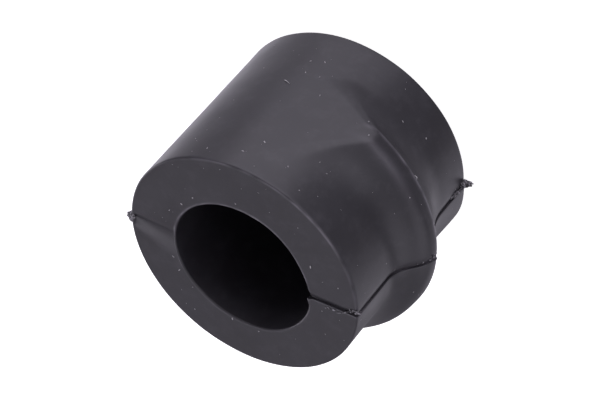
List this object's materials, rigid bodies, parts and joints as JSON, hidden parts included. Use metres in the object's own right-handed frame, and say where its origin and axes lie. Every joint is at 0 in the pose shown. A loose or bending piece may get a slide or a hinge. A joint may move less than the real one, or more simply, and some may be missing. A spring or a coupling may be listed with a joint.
{
  "type": "sway bar bushing",
  "caption": "Split rubber sleeve that holds a sway bar in its bracket, with a ramped locating lug on one side.",
  "frame": {"origin": "centre of the bore on the rear end face, the face that the part stands on", "axes": "+Z along the bar towards the front end face, +X through the middle of the lug, in the parting plane of the mould"},
  "size_m": [0.0452, 0.0408, 0.033],
  "materials": {
    "black_rubber": "satin, as moulded"
  },
  "bodies": {
    "root": {"bushing": "black_rubber"}
  },
  "joints": []
}
